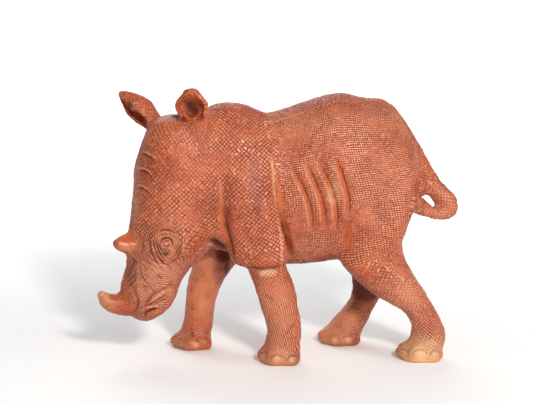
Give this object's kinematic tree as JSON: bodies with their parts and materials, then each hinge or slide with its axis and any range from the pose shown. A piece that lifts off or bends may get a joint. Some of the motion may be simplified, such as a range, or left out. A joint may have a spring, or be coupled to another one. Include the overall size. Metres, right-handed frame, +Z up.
{
  "type": "rhinoceros figurine",
  "caption": "Carved hardwood rhinoceros in a walking pose with its head low, cut from one block and standing on its own four feet.",
  "frame": {"origin": "on the ground, under the middle of the figure's length and width", "axes": "+Z up, nose horn towards -X, left flank towards -Y"},
  "size_m": [0.2508, 0.0832, 0.1892],
  "materials": {
    "carved_hardwood": "hand-carved reddish hardwood, oiled"
  },
  "bodies": {
    "root": {"rhinoceros": "carved_hardwood"}
  },
  "joints": []
}
